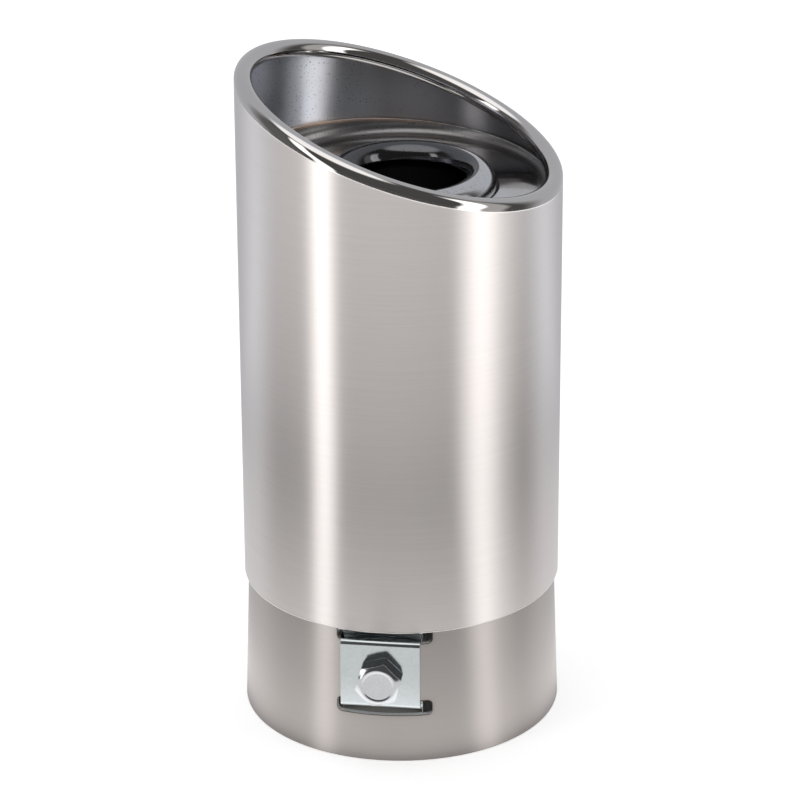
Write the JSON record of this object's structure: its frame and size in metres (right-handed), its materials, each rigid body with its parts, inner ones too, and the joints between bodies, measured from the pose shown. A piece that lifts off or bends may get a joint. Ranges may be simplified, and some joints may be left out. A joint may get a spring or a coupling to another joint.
{
  "type": "exhaust tip",
  "caption": "Slant-cut round exhaust tip with a rolled rim, an inner baffle and a screw clamp on its inlet collar.",
  "frame": {"origin": "centre of the inlet collar's mouth, on the plane that the tip stands on", "axes": "+Z along the tip's axis from the inlet to the outlet, -Y towards the clamp bolt, -X towards the high side of the slant cut"},
  "size_m": [0.0768, 0.0818, 0.162],
  "materials": {
    "brushed_sleeve": "brushed round the tube, rim polished",
    "satin_collar": "satin",
    "polished_baffle": "polished",
    "zinc_saddle": "bright zinc plate",
    "zinc_bolt": "bright zinc plate"
  },
  "bodies": {
    "root": {"outer_sleeve": "brushed_sleeve", "inlet_collar": "satin_collar", "outlet_baffle": "polished_baffle", "clamp_saddle": "zinc_saddle", "clamp_bolt": "zinc_bolt", "clamp_nut": "zinc_bolt"}
  },
  "joints": []
}
